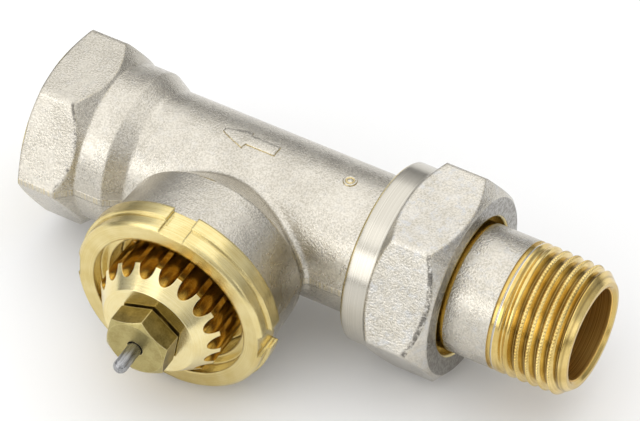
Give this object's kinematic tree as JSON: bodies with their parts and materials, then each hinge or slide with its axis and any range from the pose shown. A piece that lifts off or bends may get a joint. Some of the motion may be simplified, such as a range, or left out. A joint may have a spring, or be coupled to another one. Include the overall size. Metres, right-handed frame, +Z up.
{
  "type": "radiator valve body",
  "caption": "Straight nickel-plated brass radiator valve body with a notched ring for a control head, a spring-returned pressure pin and a union nut with a threaded tail.",
  "frame": {"origin": "centre of the pipe end's mouth, on the pipe axis", "axes": "+X along the pipe towards the tail, -Y the way the pressure pin points out, +Z up out of the forging's parting plane"},
  "size_m": [0.093, 0.0584, 0.0334],
  "materials": {
    "nickel_forging": "hot-forged brass, fine-blasted and nickel-plated, bare brass at the ring",
    "nickel_nut": "nickel-plated brass, turned collar and forged flats",
    "tail_brass": "nickel-plated shank, bare brass thread",
    "turned_brass": "bare turned brass",
    "gland_brass": "bare brass, slightly dull",
    "pin_steel": "stainless steel, ground",
    "seal_rubber": "matt black rubber"
  },
  "bodies": {
    "valve": {"valve_body": "nickel_forging", "bonnet": "turned_brass", "bonnet_seal": "seal_rubber", "gland_nut": "gland_brass", "pin_seal": "seal_rubber", "guide_bush": "turned_brass", "return_spring": "pin_steel"},
    "stem": {"pressure_pin": "pin_steel", "valve_spindle": "turned_brass", "valve_cone": "turned_brass", "valve_disc": "seal_rubber"},
    "tail": {"tail_piece": "tail_brass"},
    "nut": {"union_nut": "nickel_nut"}
  },
  "joints": [
    {"name": "pin_press", "type": "slide", "parent": "valve", "child": "stem", "axis": [0, 1, 0], "range_m": [0, 0.0025], "stiffness_N_per_m": 3500, "springref_m": -0.002, "deforming": ["return_spring"]},
    {"name": "union_slide", "type": "slide", "parent": "valve", "child": "tail", "axis": [1, 0, 0], "range_m": [0, 0.0091]},
    {"name": "union_nut_turn", "type": "hinge", "parent": "tail", "child": "nut", "pos_m": [0, 0, 0], "axis": [1, 0, 0], "range_deg": [0, 1800]}
  ],
  "couplings": [
    {"joint": "union_slide", "follows": "union_nut_turn", "m_per_rad": 0.00028871}
  ]
}
